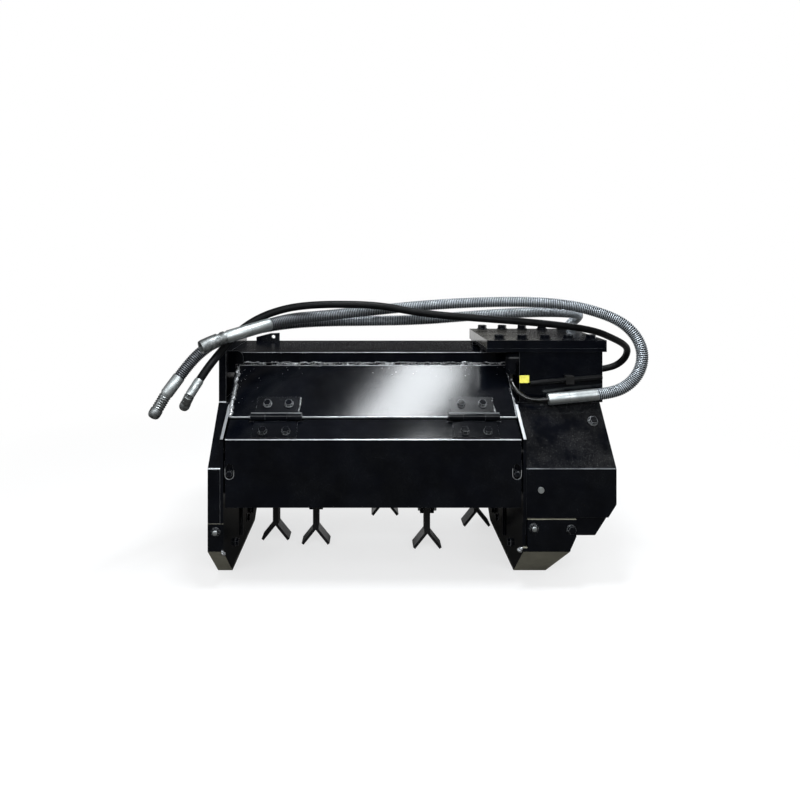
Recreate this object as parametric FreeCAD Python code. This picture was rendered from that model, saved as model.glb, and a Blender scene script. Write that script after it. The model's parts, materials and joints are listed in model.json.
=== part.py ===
import FreeCAD, Part
import math
import os

os.makedirs("parts", exist_ok=True)

V = FreeCAD.Vector

# Flail mulcher for an excavator.  Millimetres, +Z up, front towards -Y.
# The origin is under the middle of the housing, on the ground.

# ---- Driving dimensions -------------------------------------------------
depth = 490.0                # front face bolts to rear cover
tab_bolt_head = 10.0         # how far the skids' tab bolts stand out in front
bolt_clearance = 0.3         # round a bolt's shank
chamber_width = 770.5        # between the inner faces of the side plates
side_plate = 8.0             # thickness of the side plates
side_edge = 3.0              # side plates' front edge, in front of the flap's strip
shield_width = 32.0          # shield over the left bearing
belt_width = 231.5           # belt cover on the right
hitch_overhang = 17.0        # hitch plate past the belt cover
sheet = 5.0                  # folded sheet of shield and belt cover
cover_plate = 8.0            # bent plates of the chamber
deck_plate = 10.0            # top deck
skid_plate = 8.0             # skids
skid_tab_top = 174.0         # top of the skids' front tabs
skid_nose = 102.0            # height where the skids turn under
knee_height = 315.0          # where the side covers start to slope back
slope_depth = 112.0          # how far back that slope ends
slope_top = 460.0            # and how high
deck_top = 585.0
deck_front = 190.0           # front edge of the deck, behind the front face
deck_rear = 443.0
shield_top = 608.0
flap_bend = 390.0            # height of the bend of the flap
flap_bottom = 215.0
flap_sheet = 6.0
flap_gap = 6.0               # clearance round the flap
hinge_y = 50.0               # flap hinge axis, behind the front face
hinge_z = 436.0
hinge_offset = 262.0         # each hinge from the middle of the pair
hinge_shift = 5.5            # middle of the pair of hinges, right of the chamber's middle
knuckle_radius = 10.5
knuckle_clearance = 0.5      # between a knuckle and the cover's foot
port_setback = 128.0         # port elbow, behind the front face
rotor_y = 230.0              # rotor axis, behind the front face
rotor_z = 222.0
tube_radius = 57.0
tube_wall = 12.0
shaft_radius = 25.0
pin_radius = 7.0             # flail bolts
pin_circle = 100.0           # flail bolts from the rotor axis
flail_length = 115.0         # bolt to tip
flail_spread = 84.0          # across the two legs
flail_lean = 39.0            # each leg from the stem's line, in degrees
flail_blade = 8.0            # thickness of one blade
flail_width = 45.0
pair_pitch = 121.5           # from pair to pair of flails
pair_gap = 36.0              # between the two flails of a pair
flail_swing = 115.0          # swing to each side of the radial line
flail_shift = -4.75          # middle of the stations from the chamber's middle
lug_plate = 10.0
hitch_width = 329.0
hitch_front = 104.0
hitch_rear = 387.0
hitch_plate_thickness = 22.0
hitch_flange_thickness = 10.0
hitch_flange_bottom = 599.0
hitch_bolt = 16.0
hitch_bolt_pitch = 63.5
hitch_bolt_edge = 17.0       # bolt rows from the plate's front and rear edges
motor_box_width = 229.0
motor_box_front = 108.0
motor_box_wall = 8.0
hose_a_radius = 16.0         # spring-guarded hoses
hose_c_radius = 10.5         # plain drain hose
pipe_a_radius = 6.5          # steel pipe from the port to the pressure hose
port_radius = 17.0           # elbow at the port
drain_radius = 7.0           # short pipe in front of the motor box

# Flails stand in six pairs.  Each has the place of its pair, its side of the pair
# and the angle of its lug, in degrees from straight down towards the back.
flail_stations = [
    (-2.5, -1, -158.0), (-2.5, 1, 22.0), (-1.5, -1, -168.0), (-1.5, 1, 12.0),
    (-0.5, -1, 78.0), (-0.5, 1, -126.0), (0.5, -1, 65.0), (0.5, 1, -128.0),
    (1.5, -1, 0.0), (1.5, 1, 180.0), (2.5, -1, -133.0), (2.5, 1, 47.0),
]

# ---- Derived places ------------------------------------------------------
total_width = shield_width + 2 * side_plate + chamber_width + belt_width + hitch_overhang
x_left = -total_width / 2
x_plate_left = x_left + shield_width
x_in_left = x_plate_left + side_plate
x_in_right = x_in_left + chamber_width
x_belt_left = x_in_right + side_plate
x_belt_right = x_belt_left + belt_width
x_hitch_right = x_belt_right + hitch_overhang
x_hitch_left = x_hitch_right - hitch_width
x_middle = (x_in_left + x_in_right) / 2
y_front = tab_bolt_head / 2 - (depth / 2)
x_box_left = x_belt_right + 7.0 - motor_box_width
x_box_right = x_belt_right + 7.0
x_tab_right = x_belt_right - 103.0
tab_bolts = [(x_left + 21, 154.0), (x_tab_right - 110, 164.0), (x_tab_right - 14, 160.0)]
skid_bolt_rows = [137.0, 294.0, 352.0]
skid_bolt_z = 62.0
cover_foot = (60.0, 431.0)
cover_head = (182.0, 550.0)
slot_low = 299.0             # round ends of the flap's slots
slot_high = 317.0
slot_radius = 10.0


# ---- Small helpers -------------------------------------------------------
def save(name, *solids):
    shape = solids[0] if len(solids) == 1 else Part.makeCompound(list(solids))
    shape.exportStep("parts/" + name + ".step")


def box(x0, x1, y0, y1, z0, z1):
    return Part.makeBox(x1 - x0, y1 - y0, z1 - z0, V(x0, y0, z0))


def rod(start, end, radius):
    along = V(*end) - V(*start)
    return Part.makeCylinder(radius, along.Length, V(*start), along)


def ring(start, end, outer, inner):
    return rod(start, end, outer).cut(rod(start, end, inner))


def hexagon(start, end, across):
    """Hexagonal bar between two points; across is the size over the flats."""
    along = V(*end) - V(*start)
    corner = across / math.sqrt(3)
    points = [V(corner * math.cos(math.radians(60 * i)),
                corner * math.sin(math.radians(60 * i)), 0) for i in range(7)]
    bar = Part.Face(Part.makePolygon(points)).extrude(V(0, 0, along.Length))
    bar.Placement = FreeCAD.Placement(V(*start), FreeCAD.Rotation(V(0, 0, 1), along))
    return bar


def bolt(seat, direction, size, shank):
    """Hexagon bolt with washer; seat is where the washer rests, direction points out."""
    seat = V(*seat)
    out = V(*direction).normalize()
    washer = rod(seat, seat + out * (0.18 * size), size)
    head = hexagon(seat + out * (0.18 * size), seat + out * (0.83 * size), 1.5 * size)
    body = rod(seat - out * shank, seat + out * (0.18 * size), size / 2)
    return washer.fuse(head).fuse(body).removeSplitter()


def drill(shape, start, end, size):
    """Clearance hole for the shank of a bolt of this size."""
    return shape.cut(rod(start, end, size / 2 + bolt_clearance))


def prism(outline, x0, x1):
    """Outline in (distance behind the front face, height), extruded along X."""
    points = [V(x0, y_front + y, z) for y, z in outline]
    return Part.Face(Part.makePolygon(points + points[:1])).extrude(V(x1 - x0, 0, 0))


def prism_front(outline, y0, y1):
    """Outline in (x, z), extruded along Y."""
    points = [V(x, y0, z) for x, z in outline]
    return Part.Face(Part.makePolygon(points + points[:1])).extrude(V(0, y1 - y0, 0))


def shifted(line, distance):
    """An open polyline moved sideways; positive is to the left of its direction."""
    moved = []
    for i, point in enumerate(line):
        before = line[max(i - 1, 0):max(i - 1, 0) + 2]
        after = line[min(i, len(line) - 2):min(i, len(line) - 2) + 2]
        normals = []
        for a, b in (before, after):
            length = math.hypot(b[0] - a[0], b[1] - a[1])
            normals.append(((a[1] - b[1]) / length, (b[0] - a[0]) / length))
        (ax, ay), (bx, by) = normals
        scale = distance / (1 + ax * bx + ay * by)
        moved.append((point[0] + (ax + bx) * scale, point[1] + (ay + by) * scale))
    return moved


def bent(line, thickness):
    """Closed outline of a bent plate whose outside face follows line."""
    return line + shifted(line, thickness)[::-1]


def inset(outline, distance):
    """A closed outline, listed anticlockwise, moved inwards."""
    return shifted([outline[-1]] + outline + [outline[0]], distance)[1:-1]


def along(line_from, line_to, distance):
    """A point on the line between two (y, z) points, this far from the first."""
    length = math.hypot(line_to[0] - line_from[0], line_to[1] - line_from[1])
    share = distance / length
    return (line_from[0] + (line_to[0] - line_from[0]) * share,
            line_from[1] + (line_to[1] - line_from[1]) * share)


def tube(points, radius, label):
    """Round tube along straight runs joined by tangent arcs as large as the runs allow."""
    points = [V(*p) for p in points]
    edges = []
    start = points[0]
    radii = []
    length = 0.0
    for before, here, after in zip(points, points[1:], points[2:]):
        come = (here - before).normalize()
        go = (after - here).normalize()
        half = come.getAngle(go) / 2
        short = min((here - before).Length, (after - here).Length)
        arc_radius = 0.45 * short / math.tan(half)
        cut = 0.45 * short
        enter = here - come * cut
        leave = here + go * cut
        inward = (go - come).normalize()
        middle = here + inward * (arc_radius / math.cos(half) - arc_radius)
        edges.append(Part.LineSegment(start, enter).toShape())
        edges.append(Part.Arc(enter, middle, leave).toShape())
        radii.append(arc_radius)
        start = leave
    edges.append(Part.LineSegment(start, points[-1]).toShape())
    path = Part.Wire(edges)
    length = path.Length
    section = Part.Wire(Part.Circle(points[0], points[1] - points[0], radius).toShape())
    pipe = path.makePipeShell([section], True, False)
    ratio = pipe.Volume / (math.pi * radius ** 2 * length)
    print(label, "length", round(length), "least radius", round(min(radii)),
          "volume ratio", round(ratio, 3))
    return pipe


# ---- Housing -------------------------------------------------------------
skid_line = [(0, skid_tab_top), (0, skid_nose), (104, 0), (416, 0), (depth - 10, 52)]
skid_inner = shifted(skid_line, skid_plate)
cover_line = [cover_head, cover_foot]
cover_under = shifted(cover_line, cover_plate)
flap_line = [(54.0, 427.0), (0, flap_bend), (0, flap_bottom)]
flap_clear = shifted(flap_line, flap_sheet + flap_gap)
rear_line = [(deck_rear, deck_top - 10), (depth - 8, 540), (depth - 8, 200)]


def side_outline():
    """Chamber end plate: below the covers, behind the flap, on top of the skid."""
    rim = shifted([cover_foot, flap_line[1], flap_line[2]], -side_edge)
    front = [cover_line[0], along(cover_foot, cover_head, 40), rim[1], (0, rim[1][1] - 8)]
    foot = skid_line[:1] + [(skid_inner[0][0], skid_tab_top)] + skid_inner[1:4]
    back = [(depth - 16, skid_inner[4][1]), (depth - 16, 538), (deck_rear - 4, deck_top - deck_plate)]
    top = [(deck_front + deck_plate, deck_top - deck_plate), (deck_front + deck_plate, 548),
           (cover_line[0][0] + 1, cover_line[0][1])]
    return front + foot + back + top


def rear_plate():
    outer = [(deck_rear, deck_top), (depth, 541), (depth, 200)]
    return prism(bent(outer, -cover_plate), x_plate_left, x_belt_left)


def make_side_plates():
    hole = 45.0
    rear = rear_plate()
    for name, x0 in (("left_side_plate", x_plate_left), ("right_side_plate", x_in_right)):
        plate = prism(side_outline(), x0, x0 + side_plate).cut(rear)
        y = y_front + rotor_y
        plate = plate.cut(rod((x0 - 1, y, rotor_z), (x0 + side_plate + 1, y, rotor_z), hole))
        for bolt_y in skid_bolt_rows:
            plate = drill(plate, (x0 - 1, y_front + bolt_y, skid_bolt_z),
                          (x0 + side_plate + 1, y_front + bolt_y, skid_bolt_z), 12)
        save(name, plate)


def make_covers():
    cover = prism(bent(cover_line, cover_plate), x_in_left, x_in_right)
    for side in (-1, 1):
        x = x_middle + hinge_shift + side * hinge_offset
        cover = cover.cut(rod((x - 70, y_front + hinge_y, hinge_z),
                              (x + 70, y_front + hinge_y, hinge_z),
                              knuckle_radius + knuckle_clearance))
    save("front_cover", cover)
    deck_line = [(deck_rear, deck_top), (deck_front, deck_top), (deck_front, cover_head[1] + 4)]
    deck = prism(bent(deck_line, deck_plate), x_left + cover_plate, x_box_left)
    rear = rear_plate()
    save("top_deck", deck.cut(rear))
    save("rear_cover", rear)


def make_left_shield():
    low = [(0, skid_tab_top), (skid_plate, skid_tab_top)] + skid_inner[1:4]
    low += [(depth - 16, skid_inner[4][1]), (depth - 16, slope_top), (slope_depth, slope_top),
            (0, knee_height)]
    shell = prism(low, x_left, x_plate_left)
    shell = shell.cut(prism(inset(low, sheet), x_left + sheet, x_plate_left + 1))
    wing = [(slope_depth, slope_top), (deck_rear, slope_top), (deck_rear, shield_top),
            (slope_depth, shield_top)]
    wing_plate = prism(wing, x_left, x_left + cover_plate)
    flange = box(x_left, x_left + 20, y_front + slope_depth, y_front + slope_depth + cover_plate,
                 slope_top, shield_top)
    save("left_shield", shell.fuse(wing_plate).fuse(flange).removeSplitter())


def chamfer_wedge(distance):
    """What the lower outer corner of the belt cover leaves out, moved inwards by distance."""
    a = V(x_belt_right - 52, 0, 141)
    b = V(x_belt_right, 0, 223)
    run = (b - a).normalize()
    inward = V(-run.z, 0, run.x) * distance
    p = a - run * 60 + inward
    q = b + run * 60 + inward
    corner = (x_belt_right + 120, 20)
    return prism_front([(p.x, p.z), corner, (q.x, q.z)], y_front - 10, y_front + depth + 10)


def make_belt_cover():
    line = [(0, 190), (skid_plate, 190), (skid_plate, 141), (depth - 50, 141),
            (depth - 8, 190), (depth - 8, slope_top), (slope_depth, slope_top), (0, knee_height)]
    outer = prism(line, x_belt_left, x_belt_right).cut(chamfer_wedge(0))
    inner = prism(inset(line, sheet), x_belt_left + sheet, x_belt_right - sheet)
    shell = outer.cut(inner.cut(chamfer_wedge(sheet)))
    y = y_front + rotor_y
    shell = shell.cut(rod((x_belt_left - 1, y, rotor_z), (x_belt_left + 20, y, rotor_z), 78))
    y, z = along((0, knee_height), (slope_depth, slope_top), 127)
    seat = V(x_belt_right - 33, y_front + y, z)
    out = V(0, knee_height - slope_top, slope_depth).normalize()
    shell = drill(shell, seat + out, seat - out * (sheet + 1), 12)
    boss = ring(seat, seat + out * 4, 13.5, 6)
    screw = bolt(seat + out * 4, out, 12, 4 + sheet)
    x = x_belt_right - 194.5
    shell = drill(shell, (x, y_front - 1, 261), (x, y_front + sheet + 1, 261), 12)
    plug = rod((x, y_front - 4, 261), (x, y_front, 261), 8)
    plug = plug.fuse(rod((x, y_front - 4, 261), (x, y_front + sheet, 261), 6))
    save("belt_cover", shell)
    save("belt_cover_bolts", boss.fuse(screw).removeSplitter(), plug.removeSplitter())


def make_skids():
    left = prism(bent(skid_line, skid_plate), x_left, x_in_left)
    for x, z in tab_bolts[:1]:
        left = drill(left, (x, y_front - 1, z), (x, y_front + skid_plate + 1, z), 12)
    save("left_skid", left)
    line = [(0, 185)] + skid_line[1:]
    right = prism(bent(line, skid_plate), x_in_right, x_tab_right)
    edge = [(x_tab_right, 140), (x_tab_right - 14, 109), (x_tab_right - 48, 0),
            (x_tab_right - 48, -5), (x_tab_right + 60, -5), (x_tab_right + 60, 140)]
    right = right.cut(prism_front(edge, y_front - 5, y_front + depth + 5))
    right = right.cut(box(x_in_right - 1, x_belt_left + 3, y_front - 1, y_front + skid_plate + 0.01,
                          skid_nose + 10, 200))
    for x, z in tab_bolts[1:]:
        right = drill(right, (x, y_front - 1, z), (x, y_front + skid_plate + 1, z), 12)
    save("right_skid", right)
    web = [(108, skid_plate), (412, skid_plate), (428, 24), (428, 141), (60, 141), (60, 55)]
    save("right_skid_web", prism(web, x_tab_right - 60, x_tab_right - 52))


def make_skid_bolts():
    bolts = []
    for x, z in tab_bolts:
        bolts.append(bolt((x, y_front, z), (0, -1, 0), 12, skid_plate))
    for y in skid_bolt_rows:
        bolts.append(bolt((x_in_left, y_front + y, skid_bolt_z), (1, 0, 0), 12, side_plate))
        bolts.append(bolt((x_in_right, y_front + y, skid_bolt_z), (-1, 0, 0), 12, side_plate))
    save("skid_bolts", *bolts)


def make_gusset_and_lug():
    x0 = x_left + cover_plate
    x1 = x_plate_left - 1
    x2 = x1 + 22
    z0 = cover_head[1] + 2
    z1 = deck_top + 6
    outline = [(x0, z0 - 24), (x1, z0 - 24), (x1, z0), (x2, z0), (x2, z1 - 16), (x2 - 5, z1 - 5),
               (x2 - 16, z1), (x0, z1)]
    y1 = y_front + deck_front
    save("left_gusset", prism_front(outline, y1 - deck_plate, y1))
    lug_line = [(x_left + 42, deck_top), (x_left + 118, deck_top), (x_left + 118, deck_top + 26),
                (x_left + 88, deck_top + 25), (x_left + 42, deck_top + 13)]
    lug = prism_front(lug_line, y_front + deck_rear - 14, y_front + deck_rear - 2)
    hole_x = x_left + 98
    lug = lug.cut(rod((hole_x, y_front + deck_rear - 20, deck_top + 14),
                      (hole_x, y_front + deck_rear, deck_top + 14), 6))
    save("rear_lug", lug)


# ---- Head end: hitch plate, motor box, motor, fittings --------------------
def make_hitch():
    y0 = y_front + hitch_front
    y1 = y_front + hitch_rear
    z0 = hitch_flange_bottom
    z1 = z0 + hitch_flange_thickness
    z2 = z1 + hitch_plate_thickness
    plate = box(x_hitch_left, x_hitch_right, y0, y1, z1, z2)
    flange = box(x_hitch_left, x_hitch_right, y0, y1, z0, z1)
    opening = box(x_box_left + 40, x_box_right - 40, y0 + 45, y1 - 45, z0 - 1, z2 + 1)
    flange = flange.cut(opening)
    bolts = []
    for y in (y0 + hitch_bolt_edge, y1 - hitch_bolt_edge):
        for i in range(5):
            x = x_hitch_left + 38 + i * hitch_bolt_pitch
            plate = plate.cut(rod((x, y, z1 - 1), (x, y, z2 + 1), hitch_bolt / 2 + 0.5))
            flange = flange.cut(rod((x, y, z0 - 1), (x, y, z1 + 1), hitch_bolt / 2))
            bolts.append(bolt((x, y, z2), (0, 0, 1), hitch_bolt, z2 - z0))
    save("hitch_plate", plate)
    save("hitch_flange", flange)
    save("hitch_bolts", *bolts)
    rails = [box(x_hitch_left + 4, x_box_left, y_front + y, y_front + y + 30, deck_top, z0)
             for y in (deck_front + 6, hitch_rear - 36)]
    save("hitch_rails", *rails)


def make_motor_box():
    y0 = y_front + motor_box_front
    y1 = y_front + hitch_rear
    z0 = slope_top
    z1 = hitch_flange_bottom
    w = motor_box_wall
    shell = box(x_box_left, x_box_right, y0, y1, z0, z1)
    shell = shell.cut(box(x_box_left + w, x_box_right - w, y0 + w, y1 - w, z0 - 1, z1 + 1))
    save("motor_box", shell)
    axis_y = (y0 + y1) / 2
    axis_z = (z0 + z1) / 2
    body = rod((x_box_left + w, axis_y, axis_z), (x_box_left + w + 150, axis_y, axis_z), 58)
    save("hydraulic_motor", body)


pipe_a_points = [
    (x_in_right, y_front + port_setback, 536), (x_in_right, y_front + port_setback, 516),
    (284, -135, 493), (309, -153, 475), (340, -155, 471), (365, -155, 473.5),
]
hose_a_points = [
    (500, -155, 487), (546, -155, 491.6), (592, -155, 517), (621, -151, 556), (630, -142, 602),
    (617, -125, 646), (584, -101, 682), (530, -67, 705), (470, -22, 720), (376, 5, 727),
    (245, 20, 726), (94, 22, 719), (-42, 10, 708), (-160, -12, 697), (-262, -44, 689),
    (-346, -86, 686), (-393, -120, 674),
]
hose_b_points = [
    (497, 202, 566), (518, 216, 600), (548, 218, 634), (568, 198, 659), (564, 164, 675),
    (524, 128, 684), (440, 98, 689), (330, 76, 688), (191, 60, 680), (36, 45, 669),
    (-116, 35, 667), (-252, 15, 668), (-367, -15, 664), (-459, -70, 652), (-521, -112, 637),
    (-566, -150, 611), (-596, -180, 579), (-620, -196, 543),
]
hose_c_points = [
    (545, 184, 484), (597, 186, 488), (645, 185, 493), (690, 178, 505), (714, 162, 533),
    (712, 137, 566), (684, 107, 588), (633, 68, 611), (560, 18, 640), (444, -15, 660),
    (318, -45, 674), (171, -60, 686), (27, -65, 699), (-88, -73, 723), (-230, -84, 727),
    (-328, -92, 721), (-397, -100, 703), (-445, -112, 680), (-481, -138, 652), (-507, -175, 617),
    (-527, -212, 587), (-541, -236, 564), (-551, -250, 545),
]


def beyond(points, distance):
    """A point past the last of points, in line with the last run."""
    last = V(*points[-1])
    return last + (last - V(*points[-2])).normalize() * distance


def end_fitting(points, length, tip, radius, nut_across):
    """Crimped ferrule in line with the hose's last run, and a threaded coupling towards tip."""
    start = V(*points[-1])
    bend = beyond(points, length)
    tip = V(*tip)
    run = tip - bend
    taper = V(run).normalize() * 6
    ferrule = rod(start, bend, radius)
    ball = Part.makeSphere(radius * 0.8, bend)
    stem = rod(bend, bend + run * 0.3, radius * 0.62)
    nut = hexagon(bend + run * 0.22, bend + run * 0.5, nut_across)
    collar = rod(bend + run * 0.45, tip - taper, nut_across * 0.46)
    nose = Part.makeCone(nut_across * 0.46, nut_across * 0.34, taper.Length, tip - taper, taper)
    return ferrule.fuse([ball, stem, nut, collar, nose]).removeSplitter()


def start_fitting(points, length, radius, nut_across):
    """Ferrule before the hose's first run, with an elbow screwed into the motor box's rear wall."""
    y_wall = y_front + hitch_rear
    knee = beyond(points[1::-1], length)
    stub = hexagon((knee.x, y_wall, knee.z), (knee.x, y_wall + 20, knee.z), nut_across)
    neck = rod((knee.x, y_wall + 20, knee.z), knee, radius * 0.75)
    ball = Part.makeSphere(radius * 0.75, knee)
    ferrule = rod(knee, V(*points[0]), radius * 0.75)
    sleeve = rod(knee + (V(*points[0]) - knee) * 0.35, V(*points[0]), radius)
    return stub.fuse(neck).fuse(ball).fuse(ferrule).fuse(sleeve).removeSplitter()


def make_hoses():
    x, y, z = pipe_a_points[0]
    z_port = z + 41
    elbow = rod((x_box_left, y, z_port), (x, y, z_port), port_radius)
    elbow = elbow.fuse([Part.makeSphere(port_radius, V(x, y, z_port)),
                        rod((x, y, z_port), (x, y, z + 12), port_radius),
                        hexagon((x, y, z + 14), (x, y, z), 1.6 * port_radius)])
    save("port_elbow", elbow.removeSplitter())
    save("hose_a_pipe", tube(pipe_a_points, pipe_a_radius, "pipe a"))
    save("hose_a_start", rod(pipe_a_points[-1], hose_a_points[0], hose_a_radius))
    save("hose_a_tube", tube(hose_a_points, hose_a_radius, "hose a"))
    save("hose_a_fitting", end_fitting(hose_a_points, 139, (-552, -236, 626), 18, 37))
    save("hose_b_start", start_fitting(hose_b_points, 46, 19, 36))
    save("hose_b_tube", tube(hose_b_points, hose_a_radius, "hose b"))
    save("hose_b_fitting", end_fitting(hose_b_points, 56, (-681, -225, 442), 17, 33))
    save("hose_c_start", start_fitting(hose_c_points, 90, 14, 30))
    save("hose_c_tube", tube(hose_c_points, hose_c_radius, "hose c"))
    save("hose_c_fitting", end_fitting(hose_c_points, 45, (-590, -258, 474), 12.5, 26))


def make_drain_pipe():
    wall = y_front + motor_box_front
    y = wall - drain_radius - 2
    points = [(x_box_left + 27.5, y, 513.5), (x_box_left + 58, y, 517.5), (x_box_left + 98, y, 521),
              (x_box_left + 223, y, 531.5)]
    save("drain_pipe", tube(points, drain_radius, "drain pipe"))
    x = x_box_left + 123
    clip = box(x, x + 22, y - drain_radius - 3, wall, 513, 535)
    run = V(*points[3]) - V(*points[2])
    hole = rod(V(*points[2]) + run * 0.1, points[3], drain_radius + bolt_clearance)
    save("pipe_clip", clip.cut(hole))
    save("blank_tag", box(x_box_left, x_box_left + 26.5, wall - 2, wall, 513.5, 534))


# ---- Flap and its hinges ---------------------------------------------------
def make_flap():
    x0 = x_in_left + 5
    x1 = x_in_right - 5
    flap = prism(bent(flap_line, flap_sheet), x0, x1)
    hem = box(x0, x1, y_front, y_front + 8, flap_bottom, flap_bottom + 14)
    flap = flap.fuse(hem)
    studs = []
    for x in (x0 + 11, x1 - 11):
        slot = box(x - slot_radius, x + slot_radius, y_front - 2, y_front + 10, slot_low, slot_high)
        for z in (slot_low, slot_high):
            slot = slot.fuse(rod((x, y_front - 2, z), (x, y_front + 10, z), slot_radius))
        flap = flap.cut(slot)
    for side in (-1, 1):
        x = x_middle + hinge_shift + side * hinge_offset
        notch = rod((x - 72, y_front + hinge_y, hinge_z), (x + 72, y_front + hinge_y, hinge_z),
                    knuckle_radius + 3)
        flap = flap.cut(notch)
    save("front_flap", flap.removeSplitter())
    tab = side_plate + 12
    z = slot_low + 3
    low = slot_low - 8
    high = slot_high + 13
    left = box(x_in_left, x_in_left + tab + 2, y_front + 14, y_front + 20, low, high)
    right = box(x_in_right - tab, x_in_right, y_front + 14, y_front + 20, low, high)
    for piece, x in ((left, x0 + 11), (right, x1 - 11)):
        stud = rod((x, y_front, z), (x, y_front + 14, z), 5)
        head = hexagon((x, y_front - 3, z), (x, y_front + 3, z), 13)
        studs.append(piece.fuse([stud, head]).removeSplitter())
    save("flap_studs", *studs)


def make_hinges():
    cover_normal = (cover_foot[1] - cover_head[1], cover_head[0] - cover_foot[0])
    length = math.hypot(*cover_normal)
    cover_normal = (cover_normal[0] / length, cover_normal[1] / length)
    strip = (flap_line[1][0] - flap_line[0][0], flap_line[1][1] - flap_line[0][1])
    length = math.hypot(*strip)
    strip_normal = (strip[1] / length, -strip[0] / length)
    fixed = []
    fixed_bolts = []
    moving = []
    moving_bolts = []
    y_axis = y_front + hinge_y
    for side in (-1, 1):
        x = x_middle + hinge_shift + side * hinge_offset
        low = along(cover_foot, cover_head, 4)
        high = along(cover_foot, cover_head, 60)
        leaf_line = [high, low]
        leaf = prism(bent(leaf_line, -5), x - 58, x + 58)
        barrels = []
        for x0, x1 in ((-67, -29), (29, 67)):
            barrels.append(rod((x + x0, y_axis, hinge_z), (x + x1, y_axis, hinge_z), knuckle_radius))
        pin = rod((x - 69, y_axis, hinge_z), (x + 69, y_axis, hinge_z), 5)
        hook = [(hinge_y + 2, hinge_z + 8), (low[0] - 2.8, low[1] + 4.6), low,
                (hinge_y + 6, hinge_z - 4)]
        for x0, x1 in ((-58, -29), (29, 58)):
            leaf = leaf.fuse(prism(hook, x + x0, x + x1))
        leaf = leaf.fuse(barrels + [pin])
        cutter = rod((x - 28.8, y_axis, hinge_z), (x + 28.8, y_axis, hinge_z),
                     knuckle_radius + 3.5)
        leaf = leaf.cut(cutter.cut(pin))
        fixed.append(leaf.removeSplitter())
        for dx in (-29, 29):
            at = along(cover_foot, cover_head, 38)
            seat = (x + dx, y_front + at[0] + cover_normal[0] * 5, at[1] + cover_normal[1] * 5)
            fixed_bolts.append(bolt(seat, (0, cover_normal[0], cover_normal[1]), 12, 5))
            foot = V(*seat) - V(0, cover_normal[0], cover_normal[1]) * 6
            fixed[-1] = drill(fixed[-1], seat, foot, 12)
        top = along(flap_line[0], flap_line[1], 6)
        bottom = along(flap_line[0], flap_line[1], 62)
        low_leaf = prism(bent([top, bottom], -5), x - 58, x + 58)
        neck = [(hinge_y - 9, hinge_z - 3), (top[0] - 6, top[1] + 1), (top[0] + 1, top[1]),
                (hinge_y - 1, hinge_z - 8)]
        low_leaf = low_leaf.fuse(prism(neck, x - 28.3, x + 28.3))
        knuckle = rod((x - 28.3, y_axis, hinge_z), (x + 28.3, y_axis, hinge_z), knuckle_radius)
        low_leaf = low_leaf.fuse(knuckle)
        for x0, x1 in ((-70, -28.3), (28.3, 70)):
            cutter = rod((x + x0, y_axis, hinge_z), (x + x1, y_axis, hinge_z),
                         knuckle_radius + 2.5)
            low_leaf = low_leaf.cut(cutter)
        low_leaf = low_leaf.cut(rod((x - 80, y_axis, hinge_z), (x + 80, y_axis, hinge_z), 5.3))
        moving.append(low_leaf.removeSplitter())
        for dx in (-30, 30):
            at = along(flap_line[0], flap_line[1], 44)
            seat = (x + dx, y_front + at[0] + strip_normal[0] * 5, at[1] + strip_normal[1] * 5)
            moving_bolts.append(bolt(seat, (0, strip_normal[0], strip_normal[1]), 12, 5))
            foot = V(*seat) - V(0, strip_normal[0], strip_normal[1]) * 6
            moving[-1] = drill(moving[-1], seat, foot, 12)
    save("hinge_fixed_leaves", *fixed)
    save("hinge_fixed_bolts", *fixed_bolts)
    save("hinge_flap_leaves", *moving)
    save("hinge_flap_bolts", *moving_bolts)


# ---- Rotor and flails -------------------------------------------------------
def place_on_rotor(shape, x, angle):
    """Turn a shape made hanging straight down below the origin, then move it to its station."""
    shape.rotate(V(0, 0, 0), V(1, 0, 0), angle)
    shape.translate(V(x, y_front + rotor_y, rotor_z))
    return shape


def flail_solid():
    """Two blades back to back, bent apart at the foot, hanging from the origin."""
    half = flail_spread / 2
    lean = math.radians(flail_lean)
    end_x = flail_blade * math.cos(lean)
    end_z = flail_blade * math.sin(lean)
    knee = flail_length - end_z - (half - flail_blade) / math.tan(lean)
    crotch = flail_length - (half - end_x) / math.tan(lean)
    heel = 18.0
    line = [(flail_blade, heel), (flail_blade, -knee), (half, end_z - flail_length),
            (half - end_x, -flail_length), (0, -crotch)]
    mirrored = [(-x, z) for x, z in line[::-1][1:]]
    blade = prism_front(line + mirrored, -flail_width / 2, flail_width / 2)
    cap = rod((-flail_blade, 0, 0), (flail_blade, 0, 0), flail_width / 2)
    trim = box(-flail_blade - 1, flail_blade + 1, -60, 60, 0, 60).cut(cap)
    blade = blade.cut(trim)
    return blade.cut(rod((-20, 0, 0), (20, 0, 0), pin_radius + 0.5))


def lug_solid(x0, x1):
    """Lug plate standing on the tube, with the bolt hole at the origin's pin circle."""
    outline = [(-26, -tube_radius + 9), (26, -tube_radius + 9), (18, -pin_circle),
               (-18, -pin_circle)]
    points = [V(x0, y, z) for y, z in outline]
    plate = Part.Face(Part.makePolygon(points + points[:1])).extrude(V(x1 - x0, 0, 0))
    plate = plate.fuse(rod((x0, 0, -pin_circle), (x1, 0, -pin_circle), 18))
    return plate.cut(rod((x0 - 1, 0, -pin_circle), (x1 + 1, 0, -pin_circle), pin_radius + 0.2))


def rest_swing(lug_angle):
    """Swing of a flail from its lug's radial line when it hangs or leans at rest."""
    away = -((lug_angle + 180) % 360 - 180)
    return max(-flail_swing, min(flail_swing, away))


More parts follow.
